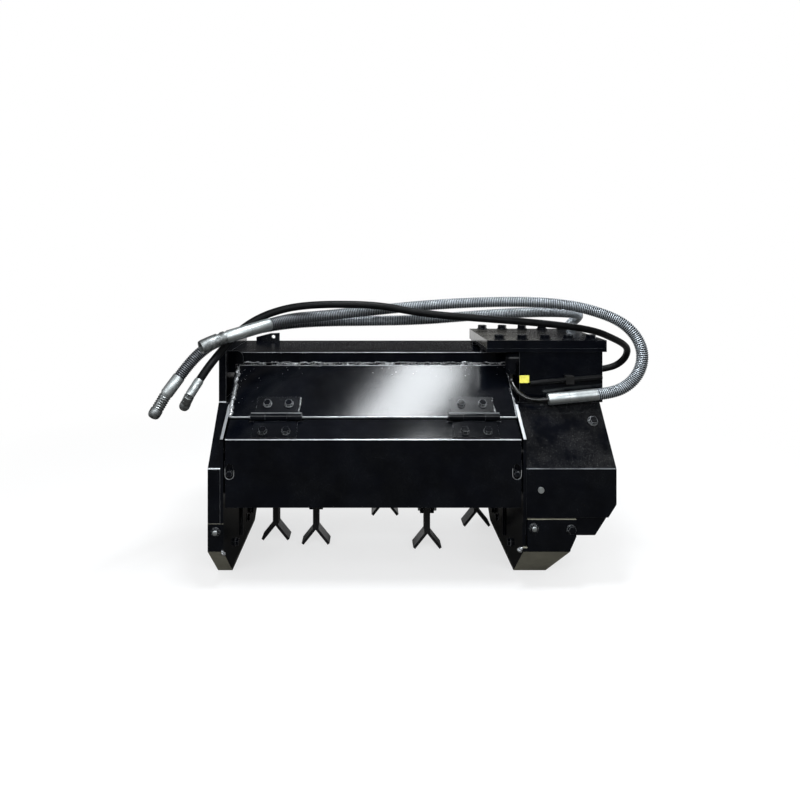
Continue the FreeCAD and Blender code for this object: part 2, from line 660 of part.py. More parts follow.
def make_rotor():
    y = y_front + rotor_y
    z = rotor_z
    x0 = x_in_left + 9
    x1 = x_in_right - 9
    rotor = ring((x0, y, z), (x1, y, z), tube_radius, tube_radius - tube_wall)
    rotor = rotor.fuse(rod((x0, y, z), (x0 + 14, y, z), tube_radius))
    rotor = rotor.fuse(rod((x1 - 14, y, z), (x1, y, z), tube_radius))
    rotor = rotor.fuse(rod((x_plate_left - 22, y, z), (x0 + 5, y, z), shaft_radius))
    rotor = rotor.fuse(rod((x1 - 5, y, z), (x_belt_left + 110, y, z), shaft_radius))
    bolts = []
    lugs = []
    skin = rod((x0, y, z), (x1, y, z), tube_radius)
    near = flail_blade + 2
    far = near + lug_plate
    for i, (pair, side, angle) in enumerate(flail_stations):
        x = x_middle + flail_shift + pair * pair_pitch + side * pair_gap / 2
        for a, b in ((-far, -near), (near, far)):
            lugs.append(place_on_rotor(lug_solid(a, b), x, angle).cut(skin))
        pin = rod((-far, 0, -pin_circle), (far, 0, -pin_circle), pin_radius)
        head = hexagon((-far - 6, 0, -pin_circle), (-far, 0, -pin_circle), 21)
        nut = hexagon((far, 0, -pin_circle), (far + 8, 0, -pin_circle), 21)
        bolts.append(place_on_rotor(pin.fuse(head).fuse(nut), x, angle))
        flail = flail_solid()
        flail.rotate(V(0, 0, 0), V(1, 0, 0), rest_swing(angle))
        flail.translate(V(0, 0, -pin_circle))
        save("flail_%02d" % (i + 1), place_on_rotor(flail, x, angle))
    save("rotor_tube", rotor.removeSplitter())
    save("rotor_lugs", *lugs)
    save("flail_bolts", *bolts)
    pulley_x = x_belt_left + 50
    save("rotor_pulley", ring((pulley_x, y, z), (pulley_x + 50, y, z), 70, shaft_radius))


def make_bearings():
    y = y_front + rotor_y
    z = rotor_z
    bearings = []
    for a, b in ((x_plate_left - 26, x_plate_left), (x_belt_left, x_belt_left + 26)):
        bearings.append(ring((a, y, z), (b, y, z), 70, shaft_radius + 0.3))
    save("rotor_bearings", *bearings)
    guards = []
    for a, b in ((x_in_left, x_in_left + 6), (x_in_right - 6, x_in_right)):
        guard = box(a, b, y - 22, y + 26, 47, rotor_z + 60)
        guard = guard.fuse(rod((a, y, z), (b, y, z), 66))
        guards.append(guard.cut(rod((a - 1, y, z), (b + 1, y, z), shaft_radius + 6)).removeSplitter())
    save("bearing_guards", *guards)


make_side_plates()
make_covers()
make_left_shield()
make_belt_cover()
make_skids()
make_skid_bolts()
make_gusset_and_lug()
make_hitch()
make_motor_box()
make_hoses()
make_drain_pipe()
make_flap()
make_hinges()
make_rotor()
make_bearings()
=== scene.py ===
# %% [markdown]
# # A flail mulcher head
# The head hangs on an excavator and cuts brush with Y-shaped flails on a spinning rotor.
# Its exact shape comes in as a fixed frame of CAD nodes.  This lesson dresses that frame:
# it rounds the edges of folded plate, paints it gloss black, lays weld beads, and makes
# the three long hydraulic hoses with their steel spring guards.

# %% Load the frame
import json
import math
import random

import bmesh
import bpy
from mathutils import Matrix, Vector


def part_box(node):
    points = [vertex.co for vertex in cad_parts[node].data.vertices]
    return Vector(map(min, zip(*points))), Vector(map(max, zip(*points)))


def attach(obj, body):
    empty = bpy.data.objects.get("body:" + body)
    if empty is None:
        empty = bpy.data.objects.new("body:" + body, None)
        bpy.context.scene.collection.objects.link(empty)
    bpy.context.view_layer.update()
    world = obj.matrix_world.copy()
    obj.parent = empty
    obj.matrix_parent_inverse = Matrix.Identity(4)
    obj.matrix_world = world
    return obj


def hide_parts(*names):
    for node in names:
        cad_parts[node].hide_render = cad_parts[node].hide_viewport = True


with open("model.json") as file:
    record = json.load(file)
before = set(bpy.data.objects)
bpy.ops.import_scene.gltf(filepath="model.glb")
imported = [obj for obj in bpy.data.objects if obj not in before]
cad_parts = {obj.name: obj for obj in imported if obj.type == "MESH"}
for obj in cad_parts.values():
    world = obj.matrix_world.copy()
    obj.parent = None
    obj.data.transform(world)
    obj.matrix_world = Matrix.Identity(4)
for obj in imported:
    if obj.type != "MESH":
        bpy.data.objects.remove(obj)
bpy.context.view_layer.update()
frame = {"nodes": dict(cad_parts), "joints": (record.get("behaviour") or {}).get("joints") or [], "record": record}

body_of = {node: body for body, nodes in frame["record"]["behaviour"]["bodies"].items()
           for node in nodes}

# %% [markdown]
# ## Camera
# The camera stands level in front of the head, a little higher than its top, so that
# upright edges stay upright.  Lens shift brings the head into the middle of the frame
# without tilting the camera, as an architect's lens does.

# %% Camera
camera_data = bpy.data.cameras.new("camera")
camera_data.sensor_width = 36
camera_data.lens = 26.3
camera_data.shift_x = 0.0375
camera_data.shift_y = -0.1725
camera_data.clip_start = 0.05
camera = bpy.data.objects.new("camera", camera_data)
camera.location = (-0.1165, -1.740, 0.846)
camera.rotation_euler = (math.radians(90), 0, 0)
bpy.context.scene.collection.objects.link(camera)
bpy.context.scene.camera = camera
bpy.context.scene.view_settings.view_transform = "Standard"
print("camera", tuple(camera.location), "lens", camera_data.lens)

# %% [markdown]
# ## Small helpers
# A material is a tree of nodes, and a lesson with many materials repeats the same few
# steps: add a node, set it, link it.  Written once as helpers, those steps leave the later
# cells short enough to read as recipes.


# %% Node helpers
def add_object(name, data):
    """An object that holds this data, linked to the scene."""
    holder = bpy.data.objects.new(name, data)
    bpy.context.scene.collection.objects.link(holder)
    return holder


def add_node(tree, kind, inputs=None, **settings):
    """A node of this kind, with its settings and the values or links of its inputs."""
    node = tree.nodes.new(kind)
    for name, value in settings.items():
        setattr(node, name, value)
    for name, value in (inputs or {}).items():
        if isinstance(value, bpy.types.NodeSocket):
            tree.links.new(value, node.inputs[name])
        else:
            node.inputs[name].default_value = value
    return node


def start_material(name, **values):
    """A material with one Principled shader, whose plain values are set on its sockets."""
    material = bpy.data.materials.new(name)
    material.use_nodes = True
    shader = material.node_tree.nodes["Principled BSDF"]
    for socket, value in values.items():
        shader.inputs[socket.replace("_", " ")].default_value = value
    return material, material.node_tree, shader


def place_on_object(tree):
    """Object coordinates, in metres from the frame's origin."""
    return add_node(tree, "ShaderNodeTexCoord").outputs["Object"]


def speckle(tree, where, scale, low, high, detail=4.0, roughness=0.6):
    """Noise turned into a mask: 0 below low, 1 above high."""
    noise = add_node(tree, "ShaderNodeTexNoise",
                     {"Vector": where, "Scale": scale, "Detail": detail, "Roughness": roughness})
    return add_node(tree, "ShaderNodeMapRange",
                    {"Value": noise.outputs[0], "From Min": low, "From Max": high}).outputs[0]


def blend_colours(tree, share, first, second):
    """From the first colour at share 0 to the second at share 1; each a value or a link."""
    mix = add_node(tree, "ShaderNodeMix", data_type="RGBA")
    for socket, value in ((0, share), (6, first), (7, second)):
        if isinstance(value, bpy.types.NodeSocket):
            tree.links.new(value, mix.inputs[socket])
        else:
            mix.inputs[socket].default_value = value
    return mix.outputs[2]


def fade_across(tree, where, reach, start, end):
    """From one colour to another along the head's width, over this reach."""
    across = add_node(tree, "ShaderNodeSeparateXYZ", {0: where}).outputs["X"]
    share = add_node(tree, "ShaderNodeMapRange",
                     {"Value": across, "From Min": reach[0], "From Max": reach[1]})
    return blend_colours(tree, share.outputs[0], start, end)


def relief(tree, heights, shader):
    """Stacks bumps, each (height socket, strength, depth in metres), on a shader."""
    normal = None
    for height, strength, depth in heights:
        inputs = {"Height": height, "Strength": strength, "Distance": depth}
        if normal is not None:
            inputs["Normal"] = normal
        normal = add_node(tree, "ShaderNodeBump", inputs).outputs[0]
    tree.links.new(normal, shader.inputs["Normal"])


print("helpers ready")

# %% [markdown]
# ## Black gloss paint
# Thick spray paint over rolled plate.  Up close it has orange peel, and the plate under it
# is never quite flat, so reflections waver.  Dust and light scuffs dull it in places.
# One recipe serves every painted part: clean on the housing, dustier on the belt cover,
# duller on the upper hinge leaves and the port elbow, pale under the skids with dried mud and
# a painted reflection of the pale floor, and dusty on the hitch plate, where it fades from
# one end to the other.  Its patterns are noise laid out in Object coordinates, which needs no
# unwrapping and runs on unbroken from face to face.


# %% Paint
def make_paint(name, dust_amount, dust_colour, dark=(0.0006, 0.0009, 0.0018, 1),
               light=(0.0014, 0.0020, 0.0042, 1), fade=None, roughness=0.12):
    """Paint clouded from dark to light, with dust on it; fade is a reach along X."""
    material, tree, shader = start_material(name, Specular_IOR_Level=0.25)
    where = place_on_object(tree)
    clouds = speckle(tree, where, 9.0, 0.35, 0.75)
    grains = speckle(tree, where, 420.0, 0.60, 0.74, detail=2.0)
    patches = speckle(tree, where, 14.0, 0.40, 0.85, detail=8.0, roughness=0.7)
    dust = add_node(tree, "ShaderNodeMath", {0: grains, 1: patches}, operation="MULTIPLY")
    film = add_node(tree, "ShaderNodeMath", {0: patches, 1: 0.16}, operation="MULTIPLY")
    cover = add_node(tree, "ShaderNodeMath", {0: dust.outputs[0], 1: film.outputs[0]},
                     operation="ADD")
    amount = add_node(tree, "ShaderNodeMath", {0: cover.outputs[0], 1: dust_amount},
                      operation="MULTIPLY")
    base = blend_colours(tree, clouds, dark, light)
    if fade:
        base = fade_across(tree, where, fade, dust_colour, base)
    colour = blend_colours(tree, amount.outputs[0], base, dust_colour)
    tree.links.new(colour, shader.inputs["Base Color"])
    rough = add_node(tree, "ShaderNodeMapRange",
                     {"Value": cover.outputs[0], "To Min": roughness,
                      "To Max": roughness + 0.4 * dust_amount})
    tree.links.new(rough.outputs[0], shader.inputs["Roughness"])
    peel = add_node(tree, "ShaderNodeTexNoise", {"Vector": where, "Scale": 330.0, "Detail": 2.0})
    waves = add_node(tree, "ShaderNodeTexNoise", {"Vector": where, "Scale": 8.0, "Detail": 1.0})
    relief(tree, [(waves.outputs[0], 1.0, 0.0005), (peel.outputs[0], 0.5, 0.0003)], shader)
    return material


GREY_DUST = (0.10, 0.11, 0.12, 1)
black_paint = make_paint("black_paint", 0.22, GREY_DUST)
dusty_paint = make_paint("dusty_black_paint", 0.9, (0.14, 0.14, 0.135, 1))
# Under the skids the paint is pale beige: dried mud, and a painted reflection of the pale floor below.
skid_mud_and_reflection_paint = make_paint("black_paint_with_mud_and_painted_reflection", 1.0, (0.20, 0.185, 0.14, 1),
                          dark=(0.22, 0.21, 0.165, 1), light=(0.32, 0.31, 0.245, 1))
leaf_paint = make_paint("hinge_paint", 0.22, GREY_DUST, roughness=0.24)
plate_paint = make_paint("hitch_plate_paint", 0.8, (0.10, 0.096, 0.086, 1), fade=(0.24, 0.42))
print("paints", [paint.name for paint in (black_paint, dusty_paint, skid_mud_and_reflection_paint, leaf_paint,
                                          plate_paint)])

# %% [markdown]
# ## Metals, rubber and plastic
# Zinc-plated fittings are bright with faint cloudy patches.  The spring guards are drawn
# steel wire; towards the hoses' free ends their colour is greyed, a painted shade where less
# light reaches them.  The drain hose is satin rubber with a fine cloth texture pressed in
# while it was cured.  Welds are painted over with the rest; their beads get a patchy pale
# metal finish, a painted highlight for the light their ripples catch.  The metals share one
# recipe, two tones mixed by a cloudy mask, because they differ mostly in tone, roughness and
# the size of their patches.


# %% Metals
# The grey the spring guards fade to: painted shade.
PAINTED_SHADE_STEEL = (0.22, 0.23, 0.25, 1)


def make_metal(name, dark, light, rough, patch_scale, metallic=1.0, grain=900.0,
               fine_depth=0.00015, fade=None):
    """Metal in patches from dark to light; rough gives their two roughnesses."""
    material, tree, shader = start_material(name, Metallic=metallic)
    where = place_on_object(tree)
    patches = speckle(tree, where, patch_scale, 0.3, 0.7, detail=5.0)
    colour = blend_colours(tree, patches, dark, light)
    if fade:
        colour = fade_across(tree, where, fade, PAINTED_SHADE_STEEL, colour)
    tree.links.new(colour, shader.inputs["Base Color"])
    wear = add_node(tree, "ShaderNodeMapRange",
                    {"Value": patches, "To Min": rough[0], "To Max": rough[1]})
    tree.links.new(wear.outputs[0], shader.inputs["Roughness"])
    fine = add_node(tree, "ShaderNodeTexNoise", {"Vector": where, "Scale": grain, "Detail": 3.0})
    relief(tree, [(fine.outputs[0], 0.25, fine_depth)], shader)
    return material


zinc = make_metal("zinc_plating", (0.44, 0.47, 0.47, 1), (0.70, 0.73, 0.73, 1), (0.50, 0.40),
                  40.0, fine_depth=0.00004)
# The guards fade to grey towards the hoses' free ends: painted shade where less light reaches them.
guard_steel = make_metal("spring_guard_steel", (0.40, 0.43, 0.46, 1), (0.66, 0.70, 0.74, 1),
                         (0.60, 0.50), 30.0, fine_depth=0.00004, fade=(-0.38, -0.05))
pipe_steel = make_metal("dark_pipe_steel", (0.03, 0.03, 0.03, 1), (0.09, 0.09, 0.09, 1),
                        (0.35, 0.22), 40.0, fine_depth=0.00004)
# The next three finishes are paler metal for folds and eased edges: painted highlights standing for the light that
# rounded edges catch, as a dim sheen, a bright line and a soft line.
edge_sheen = make_metal("edge_sheen", (0.020, 0.021, 0.024, 1), (0.16, 0.17, 0.18, 1),
                        (0.34, 0.26), 20.0, metallic=0.7)
painted_edge_highlight = make_metal("painted_edge_highlight", (0.30, 0.31, 0.33, 1), (0.72, 0.74, 0.76, 1),
                         (0.42, 0.30), 14.0, metallic=0.8)
painted_soft_edge_highlight = make_metal("painted_soft_edge_highlight", (0.10, 0.105, 0.11, 1), (0.50, 0.52, 0.54, 1),
                          (0.45, 0.35), 60.0, metallic=0.2)
worn_zinc = make_metal("worn_zinc_plating", (0.10, 0.105, 0.105, 1), (0.46, 0.48, 0.48, 1),
                       (0.55, 0.40), 110.0)
# Weld beads are black like the rest; this patchy pale metal on them is a painted highlight for the light their
# ripples catch.  It also marks the spatter and the rims round the flap's slots.
weld_highlight_metal = make_metal("weld_with_painted_highlight", (0.02, 0.021, 0.024, 1), (0.80, 0.82, 0.84, 1),
                        (0.34, 0.22), 85.0, metallic=0.7)
cast_iron = make_metal("cast_iron", (0.05, 0.05, 0.05, 1), (0.10, 0.10, 0.10, 1),
                       (0.65, 0.50), 80.0, metallic=0.4, grain=500.0)
print("metals", zinc.name, guard_steel.name, weld_highlight_metal.name, cast_iron.name)


# %% Forged flails
def make_flail_finish():
    """Black paint on forged steel, chipped where stems strike it."""
    material, tree, shader = start_material("forged_flail", Coat_Weight=0.15)
    where = place_on_object(tree)
    chips = speckle(tree, where, 150.0, 0.64, 0.68, detail=6.0)
    colour = blend_colours(tree, chips, (0.010, 0.010, 0.011, 1), (0.13, 0.12, 0.11, 1))
    tree.links.new(colour, shader.inputs["Base Color"])
    tree.links.new(chips, shader.inputs["Metallic"])
    rough = add_node(tree, "ShaderNodeMapRange", {"Value": chips, "To Min": 0.34, "To Max": 0.5})
    tree.links.new(rough.outputs[0], shader.inputs["Roughness"])
    scale = add_node(tree, "ShaderNodeTexNoise", {"Vector": where, "Scale": 330.0, "Detail": 5.0})
    relief(tree, [(scale.outputs[0], 0.5, 0.0004)], shader)
    return material


flail_finish = make_flail_finish()
print("flails", flail_finish.name)


# %% Rubber and plastic
def make_rubber(name, colour, weave):
    """A satin surface with a faint bloom; weave is how many cells it has in a metre."""
    material, tree, shader = start_material(name, Specular_IOR_Level=0.12)
    where = place_on_object(tree)
    bloom = speckle(tree, where, 30.0, 0.35, 0.75, detail=5.0)
    pale = tuple(1.8 * c + 0.001 for c in colour) + (1,)
    tree.links.new(blend_colours(tree, bloom, colour + (1,), pale), shader.inputs["Base Color"])
    rough = add_node(tree, "ShaderNodeMapRange", {"Value": bloom, "To Min": 0.36, "To Max": 0.55})
    tree.links.new(rough.outputs[0], shader.inputs["Roughness"])
    cloth = add_node(tree, "ShaderNodeTexVoronoi", {"Vector": where, "Scale": weave})
    relief(tree, [(cloth.outputs[0], 0.3, 0.0003)], shader)
    return material


hose_rubber = make_rubber("hose_rubber", (0.0025, 0.0027, 0.003), 650.0)
guarded_rubber = make_rubber("guarded_hose_rubber", (0.005, 0.005, 0.005), 650.0)
clip_plastic = make_rubber("black_plastic", (0.010, 0.010, 0.010), 900.0)
tag_plastic = make_rubber("yellow_tag_plastic", (0.62, 0.58, 0.10), 300.0)
print("rubbers", hose_rubber.name, guarded_rubber.name, "plastics", clip_plastic.name,
      tag_plastic.name)

# %% [markdown]
# ## Hoses
# Each hose is a fixed length of something flexible, so it is drawn as one smooth spline
# led by listed control points.  The pressure and return hoses wear spring guards;
# the slim drain hose is bare.  The points are those of the CAD source, in millimetres, and
# a bevel gives the line its thickness.

# %% Hose routes
MM = 0.001
GUARDED_RADIUS, DRAIN_RADIUS = 0.0142, 0.0105
HOSE_A_POINTS = [
    (500, -155, 487), (546, -155, 491.6), (592, -155, 517), (621, -151, 556), (630, -142, 602),
    (617, -125, 646), (584, -101, 682), (530, -67, 705), (470, -22, 720), (376, 5, 727),
    (245, 20, 726), (94, 22, 719), (-42, 10, 708), (-160, -12, 697), (-262, -44, 689),
    (-346, -86, 686), (-393, -120, 674),
]
HOSE_B_POINTS = [
    (497, 202, 566), (518, 216, 600), (548, 218, 634), (568, 198, 659), (564, 164, 675),
    (524, 128, 684), (440, 98, 689), (330, 76, 688), (191, 60, 680), (36, 45, 669),
    (-116, 35, 667), (-252, 15, 668), (-367, -15, 664), (-459, -70, 652), (-521, -112, 637),
    (-566, -150, 611), (-596, -180, 579), (-620, -196, 543),
]
HOSE_C_POINTS = [
    (545, 184, 484), (597, 186, 488), (645, 185, 493), (690, 178, 505), (714, 162, 533),
    (712, 137, 566), (684, 107, 588), (633, 68, 611), (560, 18, 640), (444, -15, 660),
    (318, -45, 674), (171, -60, 686), (27, -65, 699), (-88, -73, 723), (-230, -84, 727),
    (-328, -92, 721), (-397, -100, 703), (-445, -112, 680), (-481, -138, 652), (-507, -175, 617),
    (-527, -212, 587), (-541, -236, 564), (-551, -250, 545),
]


def make_route(name, points):
    """One open NURBS spline with these control points."""
    curve = bpy.data.curves.new(name, "CURVE")
    curve.dimensions = "3D"
    curve.resolution_u = 10
    spline = curve.splines.new("NURBS")
    spline.points.add(len(points) - 1)
    for knot, (x, y, z) in zip(spline.points, points):
        knot.co = (x * MM, y * MM, z * MM, 1)
    spline.order_u = 3
    spline.use_endpoint_u = True
    return add_object(name, curve)


def read_route(route):
    """Points along the spline, in order, read before it has any thickness."""
    line = bpy.data.meshes.new_from_object(route)
    points = [v.co.copy() for v in line.vertices]
    bpy.data.meshes.remove(line)
    return points


def path_length(points):
    """The sum of the runs from each point to the next."""
    return sum((b - a).length for a, b in zip(points, points[1:]))


hoses = {}
for letter, points, radius, finish in (("a", HOSE_A_POINTS, GUARDED_RADIUS, guarded_rubber),
                                       ("b", HOSE_B_POINTS, GUARDED_RADIUS, guarded_rubber),
                                       ("c", HOSE_C_POINTS, DRAIN_RADIUS, hose_rubber)):
    route = make_route("hose_" + letter, points)
    line = read_route(route)
    route.data.bevel_depth = radius
    route.data.bevel_resolution = 5
    route.data.use_fill_caps = True
    route.data.materials.append(finish)
    hoses[letter] = (route, line, radius)
    print("hose", letter, "length", round(path_length(line), 3))

# %% [markdown]
# ## Geometry Nodes helper
# What repeats along a path is made by a node tree.  This helper runs a tree on a mesh,
# turns the result into a plain mesh at the origin and removes the modifier, so that the
# finished piece carries no live tree.


# %% Run a tree
def start_tree(name, sizes):
    """An empty tree with a mesh input, named size inputs, a material input and an output."""
    tree = bpy.data.node_groups.new(name, "GeometryNodeTree")
    tree.interface.new_socket("Geometry", in_out="INPUT", socket_type="NodeSocketGeometry")
    for label, kind in sizes:
        tree.interface.new_socket(label, in_out="INPUT", socket_type=kind)
    tree.interface.new_socket("Material", in_out="INPUT", socket_type="NodeSocketMaterial")
    tree.interface.new_socket("Geometry", in_out="OUTPUT", socket_type="NodeSocketGeometry")
    return tree, tree.nodes.new("NodeGroupInput").outputs, tree.nodes.new("NodeGroupOutput").inputs


def finish_tree(tree, geometry, given, result):
    """Realize Instances, smooth shading, Set Material, and out."""
    real = add_node(tree, "GeometryNodeRealizeInstances", {"Geometry": geometry})
    shaded = add_node(tree, "GeometryNodeSetShadeSmooth",
                      {"Geometry": real.outputs[0], "Shade Smooth": True})
    painted = add_node(tree, "GeometryNodeSetMaterial",
                       {"Geometry": shaded.outputs[0], "Material": given["Material"]})
    tree.links.new(painted.outputs[0], result[0])
    return tree


def grow(name, tree, mesh, **sizes):
    """The tree's result on this mesh, as a plain mesh object."""
    seed = add_object(name, mesh)
    modifier = seed.modifiers.new(name, "NODES")
    modifier.node_group = tree
    names = {item.name: item.identifier for item in tree.interface.items_tree
             if item.in_out == "INPUT"}
    for label, value in sizes.items():
        modifier[names[label.replace("_", " ")]] = value
    evaluated = seed.evaluated_get(bpy.context.evaluated_depsgraph_get())
    result = bpy.data.meshes.new_from_object(evaluated)
    seed.modifiers.clear()
    seed.data = result
    result.name = name
    return seed


def line_mesh(name, lines):
    """Several polylines as one mesh of bare edges."""
    mesh = bpy.data.meshes.new(name)
    points, edges = [], []
    for line in lines:
        first = len(points)
        points += [tuple(p) for p in line]
        edges += [(first + i, first + i + 1) for i in range(len(line) - 1)]
    mesh.from_pydata(points, edges, [])
    return mesh


print("tree helpers ready")

# %% [markdown]
# ## Spring guards
# A guard is a coil of hard wire wound close round the hose.  At this size each turn reads
# as a ring, so the tree sets one leaning ring of wire at every pitch along the hose.


# %% Guard tree
def make_guard_tree():
    """One leaning ring of wire at every pitch along a path."""
    tree, given, result = start_tree("spring_guard", [
        ("Pitch", "NodeSocketFloat"), ("Coil Radius", "NodeSocketFloat"),
        ("Wire Radius", "NodeSocketFloat"), ("Lean", "NodeSocketFloat")])
    path = add_node(tree, "GeometryNodeMeshToCurve", {"Mesh": given["Geometry"]})
    stops = add_node(tree, "GeometryNodeCurveToPoints",
                     {"Curve": path.outputs[0], "Length": given["Pitch"]}, mode="LENGTH")
    turn = add_node(tree, "GeometryNodeCurvePrimitiveCircle",
                    {"Resolution": 20, "Radius": given["Coil Radius"]})
    wire = add_node(tree, "GeometryNodeCurvePrimitiveCircle",
                    {"Resolution": 5, "Radius": given["Wire Radius"]})
    ring = add_node(tree, "GeometryNodeCurveToMesh",
                    {"Curve": turn.outputs[0], "Profile Curve": wire.outputs[0]})
    lean = add_node(tree, "ShaderNodeCombineXYZ", {"X": given["Lean"]})
    tilted = add_node(tree, "GeometryNodeTransform",
                      {"Geometry": ring.outputs[0], "Rotation": lean.outputs[0]})
    rings = add_node(tree, "GeometryNodeInstanceOnPoints",
                     {"Points": stops.outputs["Points"], "Instance": tilted.outputs[0],
                      "Rotation": stops.outputs["Rotation"]})
    return finish_tree(tree, rings.outputs[0], given, result)


guard_tree = make_guard_tree()
guards = {}
for letter in "ab":
    route, line, radius = hoses[letter]
    guards[letter] = grow("hose_%s_guard" % letter, guard_tree,
                          line_mesh("guard_path", [line]), Pitch=0.0052, Coil_Radius=0.0144,
                          Wire_Radius=0.0017, Lean=0.06, Material=guard_steel)
    print("guard", letter, len(guards[letter].data.polygons), "faces")

# %% [markdown]
# ## Turned fittings
# Hose ends are crimped: a steel sleeve is squeezed on, and a swivel coupling follows it.
# All of it is turned on a lathe, so a profile of distance and radius, spun round the
# fitting's axis, gives the shape with its seams, steps and threads.


# %% Lathe
def turned(name, start, end, profile, finish, sides=28):
    """Closed surface of revolution from start towards end, in millimetres.

    The profile is a list of (share of the way to the end, radius).
    """
    start, end = Vector(start) * MM, Vector(end) * MM
    axis = (end - start).normalized()
    turn = axis.to_track_quat("Z", "Y").to_matrix()
    reach = (end - start).length
    points, faces = [], []
    for share, radius in profile:
        for i in range(sides):
            angle = 2 * math.pi * i / sides
            ring = Vector((radius * MM * math.cos(angle), radius * MM * math.sin(angle), 0))
            points.append(start + axis * (reach * share) + turn @ ring)
    for row in range(len(profile) - 1):
        for i in range(sides):
            a, b = row * sides + i, row * sides + (i + 1) % sides
            faces.append((a, b, b + sides, a + sides))
    faces.append(tuple(range(sides))[::-1])
    last = (len(profile) - 1) * sides
    faces.append(tuple(range(last, last + sides)))
    mesh = bpy.data.meshes.new(name)
    mesh.from_pydata(points, [], faces)
    mesh.materials.append(finish)
    mesh.polygons.foreach_set("use_smooth", [len(p.vertices) == 4 for p in mesh.polygons])
    mesh.set_sharp_from_angle(angle=math.radians(40))
    return add_object(name, mesh)


def threads(start, end, count, outer, inner):
    """Profile steps of a screw thread between two shares of the length."""
    steps = []
    for i in range(count):
        a = start + (end - start) * i / count
        b = start + (end - start) * (i + 0.5) / count
        steps += [(a, inner), ((a + b) / 2, outer), (b, outer), ((a + b) / 2 + (b - a), inner)]
    return steps


def beyond(points, distance):
    """A point past the last one, in line with the last run."""
    last, before = Vector(points[-1]), Vector(points[-2])
    return last + (last - before).normalized() * distance


def joined(name, pieces):
    """Several meshes as one object."""
    mesh = bmesh.new()
    finishes = []
    for piece in pieces:
        first = len(mesh.faces)
        mesh.from_mesh(piece.data)
        mesh.faces.ensure_lookup_table()
        if piece.data.materials[0] not in finishes:
            finishes.append(piece.data.materials[0])
        for face in mesh.faces[first:]:
            face.material_index = finishes.index(piece.data.materials[0])
    target = pieces[0]
    target.data.materials.clear()
    for finish in finishes:
        target.data.materials.append(finish)
    mesh.to_mesh(target.data)
    mesh.free()
    for piece in pieces[1:]:
        bpy.data.objects.remove(piece)
    target.name = name
    return target


print("lathe ready")

# %% Hose ends
a_last, a_knee = Vector(HOSE_A_POINTS[-1]), beyond(HOSE_A_POINTS, 139)
b_last, b_knee = Vector(HOSE_B_POINTS[-1]), beyond(HOSE_B_POINTS, 56)
c_last, c_knee = Vector(HOSE_C_POINTS[-1]), beyond(HOSE_C_POINTS, 45)
a_tip, b_tip, c_tip = (-552, -236, 626), (-681, -225, 442), (-590, -258, 474)

sleeve_a = turned("hose_a_sleeve", (365, -155, 473.5), HOSE_A_POINTS[0], [
    (0, 9.5), (0.01, 14.6), (0.03, 15.8), (0.40, 15.8), (0.405, 15.0), (0.42, 15.0),
    (0.425, 15.8), (0.95, 15.8), (0.955, 15.2), (0.97, 15.2), (0.975, 15.9), (1, 15.4)], zinc)
ferrule_a = turned("hose_a_ferrule", a_last, a_knee, [
    (0, 15.6), (0.01, 16.6), (0.03, 17.4), (0.44, 17.4), (0.445, 16.6), (0.46, 16.6),
    (0.465, 17.4), (0.90, 17.0), (0.93, 15.0), (1, 14.4)], zinc)
coupling_a = turned("hose_a_coupling", a_knee, a_tip, [
    (-0.12, 13.0), (-0.08, 17.0), (0.06, 17.2), (0.10, 15.2), (0.20, 15.2), (0.25, 18.4),
    (0.62, 18.8), (0.90, 18.2), (1, 17.0), (0.99, 14.2), (0.70, 13.0)], worn_zinc)
coupling_b = joined("hose_b_coupling", [
    turned("sleeve", b_last, b_knee, [
        (0, 15.4), (0.02, 16.0), (0.05, 16.6), (0.93, 16.6), (0.97, 15.6), (1.04, 14.2)], zinc),
    turned("swivel", b_knee, b_tip, [(-0.06, 13.6), (0.02, 14.2)]
           + threads(0.04, 0.60, 6, 15.6, 14.0)
           + [(0.62, 14.6), (0.66, 16.2), (0.84, 16.2), (0.93, 14.6), (0.98, 11.5), (1, 8.0)],
           worn_zinc)])
coupling_c = joined("hose_c_coupling", [
    turned("sleeve", c_last, c_knee, [
        (0, 10.8), (0.03, 11.6), (0.08, 12.2), (0.40, 12.2), (0.42, 11.7), (0.46, 11.7),
        (0.48, 12.2), (0.94, 12.2), (1.04, 10.8)], zinc),
    turned("swivel", c_knee, c_tip, [
        (-0.08, 10.2), (0.04, 10.8), (0.08, 12.6), (0.50, 12.6), (0.53, 11.8), (0.58, 11.8),
        (0.62, 13.2), (0.84, 13.2), (0.94, 11.4), (0.99, 8.4), (1, 6.0)], worn_zinc)])
print("couplings", [len(o.data.polygons) for o in (sleeve_a, ferrule_a, coupling_a,
                                                   coupling_b, coupling_c)])

# %% [markdown]
# ## Folded plate with real edges
# CAD edges are perfectly sharp, and a perfectly sharp edge never shines.  On the real
# head every fold has a radius, and every cut edge is ground off and rounded by paint, and
# those edges catch the bright lines of light that make black plate readable.  So each plate
# is a merged copy of its node, first rolled at its folds, then bevelled at its edges, and
# the rolled and bevelled faces take a second finish, mostly a paler metal: a painted
# highlight that draws those bright lines.


# %% Rounding
ONE_POINT = 0.00001
FLAT, SHARP = math.radians(1), math.radians(32)
SLIGHTEST_FOLD = 20


